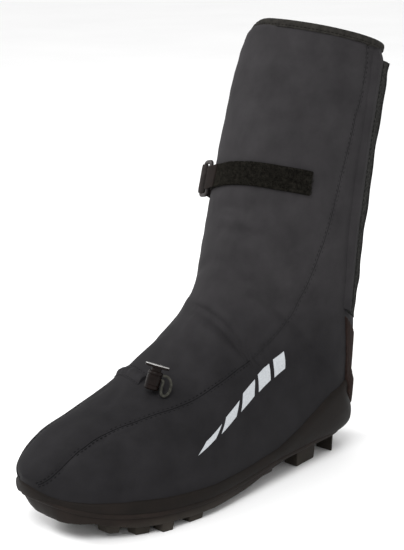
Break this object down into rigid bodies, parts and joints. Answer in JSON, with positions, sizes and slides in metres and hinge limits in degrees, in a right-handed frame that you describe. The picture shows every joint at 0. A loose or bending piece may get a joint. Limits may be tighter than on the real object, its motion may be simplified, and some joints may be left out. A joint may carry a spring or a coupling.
{
  "type": "overshoe",
  "caption": "Left cycling overshoe: tall coated fabric gaiter with rubber rand, lugged rubber sole, shin strap with ring, rear hook-and-loop closure and drawcord lock on the instep.",
  "frame": {"origin": "centre of the footprint's bounding box on the floor under the lugs", "axes": "toe to -X, heel to +X, outer (lateral) side to -Y, inner side to +Y, collar up +Z"},
  "size_m": [0.3332, 0.1126, 0.3339],
  "materials": {
    "outsole": "matt brown-black moulded rubber",
    "upper": "charcoal coated stretch fabric, soft sheen",
    "rand": "matt rubberised band",
    "collar_hem": "brownish binding tape",
    "calf_strap": "olive-black loop pile",
    "strap_ring": "grey moulded plastic",
    "strap_anchor": "black webbing",
    "rear_closure": "dark grey hook-and-loop tape",
    "heel_tape": "dark brown webbing",
    "cord_channel": "charcoal coated fabric",
    "cord_lock_body": "dark brown moulded plastic",
    "cord_lock_plunger": "glossy grey-brown plastic",
    "drawcord_loop": "light grey-olive elastic cord"
  },
  "bodies": {
    "overshoe": {"outsole": "outsole", "upper": "upper", "rand": "rand", "collar_hem": "collar_hem", "calf_strap": "calf_strap", "strap_ring": "strap_ring", "strap_anchor": "strap_anchor", "rear_closure": "rear_closure", "heel_tape": "heel_tape", "cord_channel": "cord_channel", "cord_lock_body": "cord_lock_body", "drawcord_loop": "drawcord_loop"},
    "lock_button": {"cord_lock_plunger": "cord_lock_plunger"}
  },
  "joints": [
    {"name": "lock_press", "type": "slide", "parent": "overshoe", "child": "lock_button", "axis": [-0.3474, 0.0512, -0.9363], "range_m": [0, 0.002], "stiffness_N_per_m": 500, "springref_m": -0.002}
  ]
}
